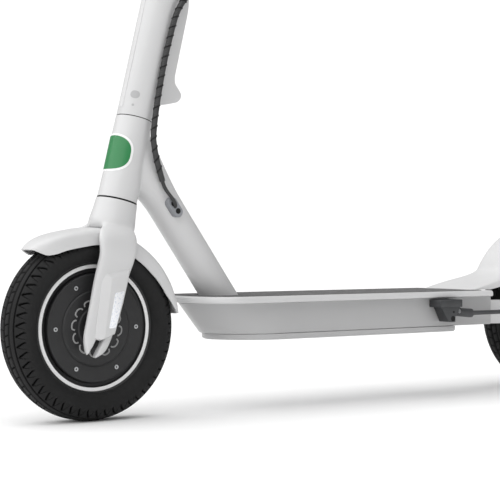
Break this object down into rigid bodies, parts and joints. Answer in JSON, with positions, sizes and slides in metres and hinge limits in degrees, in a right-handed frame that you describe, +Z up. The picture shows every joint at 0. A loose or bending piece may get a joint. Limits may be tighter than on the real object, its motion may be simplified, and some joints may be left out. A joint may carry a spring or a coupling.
{
  "type": "electric kick scooter",
  "caption": "Stand-on electric kick scooter with a fixed stem, hub motor front wheel, drum brake rear wheel, covered fenders and a side kickstand.",
  "frame": {"origin": "on the ground, midway along the length and on the centre plane", "axes": "+X forward, +Y rider's left, +Z up"},
  "size_m": [1.1655, 0.5036, 1.2073],
  "materials": {
    "frame_paint": "satin light grey powder coat",
    "cover_plastic": "fine satin light grey moulding",
    "tyre_rubber": "matt black",
    "hub_black": "satin black cast finish",
    "mat_rubber": "textured dark grey",
    "black_rubber": "matt",
    "steel": "turned, zinc plated",
    "bare_aluminium": "as cast",
    "bracket_grey": "satin dark grey",
    "black_plastic": "fine grained",
    "black_paint": "satin",
    "gland_grey": "matt",
    "display_black": "polished",
    "lamp_clear": "clear lens over a white reflector",
    "red_plastic": "transparent red",
    "battery_wrap": "shrink wrap"
  },
  "bodies": {
    "frame": {"frame_neck": "frame_paint", "deck_plate": "frame_paint", "deck_mat": "mat_rubber", "battery_box": "frame_paint", "bottom_cover": "cover_plastic", "battery_pack": "battery_wrap", "motor_controller": "bare_aluminium", "rear_fork": "frame_paint", "rear_fender": "cover_plastic", "tail_light": "red_plastic", "kickstand_bracket": "bracket_grey", "rear_axle": "steel", "rear_nut_left": "steel", "rear_nut_right": "steel", "brake_backplate": "bare_aluminium", "brake_shoe_front": "bracket_grey", "brake_shoe_rear": "bracket_grey", "cable_gland": "gland_grey", "headset_bearing_lower": "steel", "headset_bearing_upper": "steel"},
    "steering": {"steerer_tube": "steel", "fork": "frame_paint", "fork_cover_left": "cover_plastic", "fork_cover_right": "cover_plastic", "front_fender": "cover_plastic", "front_axle": "steel", "front_nut_left": "steel", "front_nut_right": "steel", "motor_stator": "bracket_grey", "stem_tube": "frame_paint", "bag_hook": "cover_plastic", "bar_clamp": "frame_paint", "handlebar": "black_paint", "grip_left": "black_rubber", "grip_right": "black_rubber", "dashboard": "black_plastic", "display_lens": "display_black", "headlight": "lamp_clear", "lever_clamp": "black_plastic", "throttle_clamp": "black_plastic", "bell_dome": "bare_aluminium", "cable_harness": "black_rubber"},
    "front_wheel": {"front_tyre": "tyre_rubber", "front_hub": "hub_black", "hub_cover_left": "hub_black", "hub_cover_right": "hub_black", "front_bearing_left": "steel", "front_bearing_right": "steel"},
    "rear_wheel": {"rear_tyre": "tyre_rubber", "rear_hub": "hub_black", "rear_bearing_left": "steel", "rear_bearing_right": "steel"},
    "kickstand": {"kickstand_leg": "bracket_grey", "kickstand_foot": "black_rubber"},
    "brake_lever": {"brake_lever": "black_paint"},
    "throttle_lever": {"throttle_lever": "black_plastic"},
    "bell_lever": {"bell_lever": "black_plastic"},
    "power_button": {"power_button": "red_plastic"},
    "charge_cap": {"charge_cap": "black_rubber"},
    "brake_arm": {"brake_arm": "bracket_grey"}
  },
  "joints": [
    {"name": "steering_turn", "type": "hinge", "parent": "frame", "child": "steering", "pos_m": [0.454, 0, 0.127], "axis": [-0.2419, 0, 0.9703], "range_deg": [-50, 50], "deforming": ["cable_harness"]},
    {"name": "front_wheel_spin", "type": "hinge", "parent": "steering", "child": "front_wheel", "pos_m": [0.4562, 0, 0.127], "axis": [0, 1, 0], "continuous": true},
    {"name": "rear_wheel_spin", "type": "hinge", "parent": "frame", "child": "rear_wheel", "pos_m": [-0.4358, 0, 0.127], "axis": [0, 1, 0], "continuous": true},
    {"name": "kickstand_fold", "type": "hinge", "parent": "frame", "child": "kickstand", "pos_m": [-0.1514, 0.084, 0.1344], "axis": [0, -0.9677, -0.2521], "range_deg": [0, 92]},
    {"name": "brake_lever_pull", "type": "hinge", "parent": "steering", "child": "brake_lever", "pos_m": [0.22328, 0.112, 1.16811], "axis": [-0.2419, 0, 0.9703], "range_deg": [0, 12], "stiffness_Nm_per_rad": 1.5, "springref_deg": -11.46},
    {"name": "brake_arm_turn", "type": "hinge", "parent": "frame", "child": "brake_arm", "pos_m": [-0.4358, -0.02, 0.153], "axis": [0, -1, 0], "range_deg": [0, 12]},
    {"name": "throttle_press", "type": "hinge", "parent": "steering", "child": "throttle_lever", "pos_m": [0.19424, -0.108, 1.16087], "axis": [-0.0929, -0.9954, -0.0232], "range_deg": [0, 25], "stiffness_Nm_per_rad": 0.15, "springref_deg": -17.19},
    {"name": "bell_strike", "type": "hinge", "parent": "steering", "child": "bell_lever", "pos_m": [0.19079, 0.098, 1.18268], "axis": [-0.2419, 0, 0.9703], "range_deg": [0, 30], "stiffness_Nm_per_rad": 0.02, "springref_deg": -17.19},
    {"name": "power_press", "type": "slide", "parent": "steering", "child": "power_button", "axis": [0.2419, 0, -0.9703], "range_m": [0, 0.0012], "stiffness_N_per_m": 900, "springref_m": -0.0008},
    {"name": "charge_cap_flip", "type": "hinge", "parent": "frame", "child": "charge_cap", "pos_m": [0.1912, -0.0705, 0.1475], "axis": [-1, 0, 0], "range_deg": [0, 110]}
  ],
  "couplings": [
    {"joint": "brake_arm_turn", "follows": "brake_lever_pull", "ratio": 1}
  ]
}
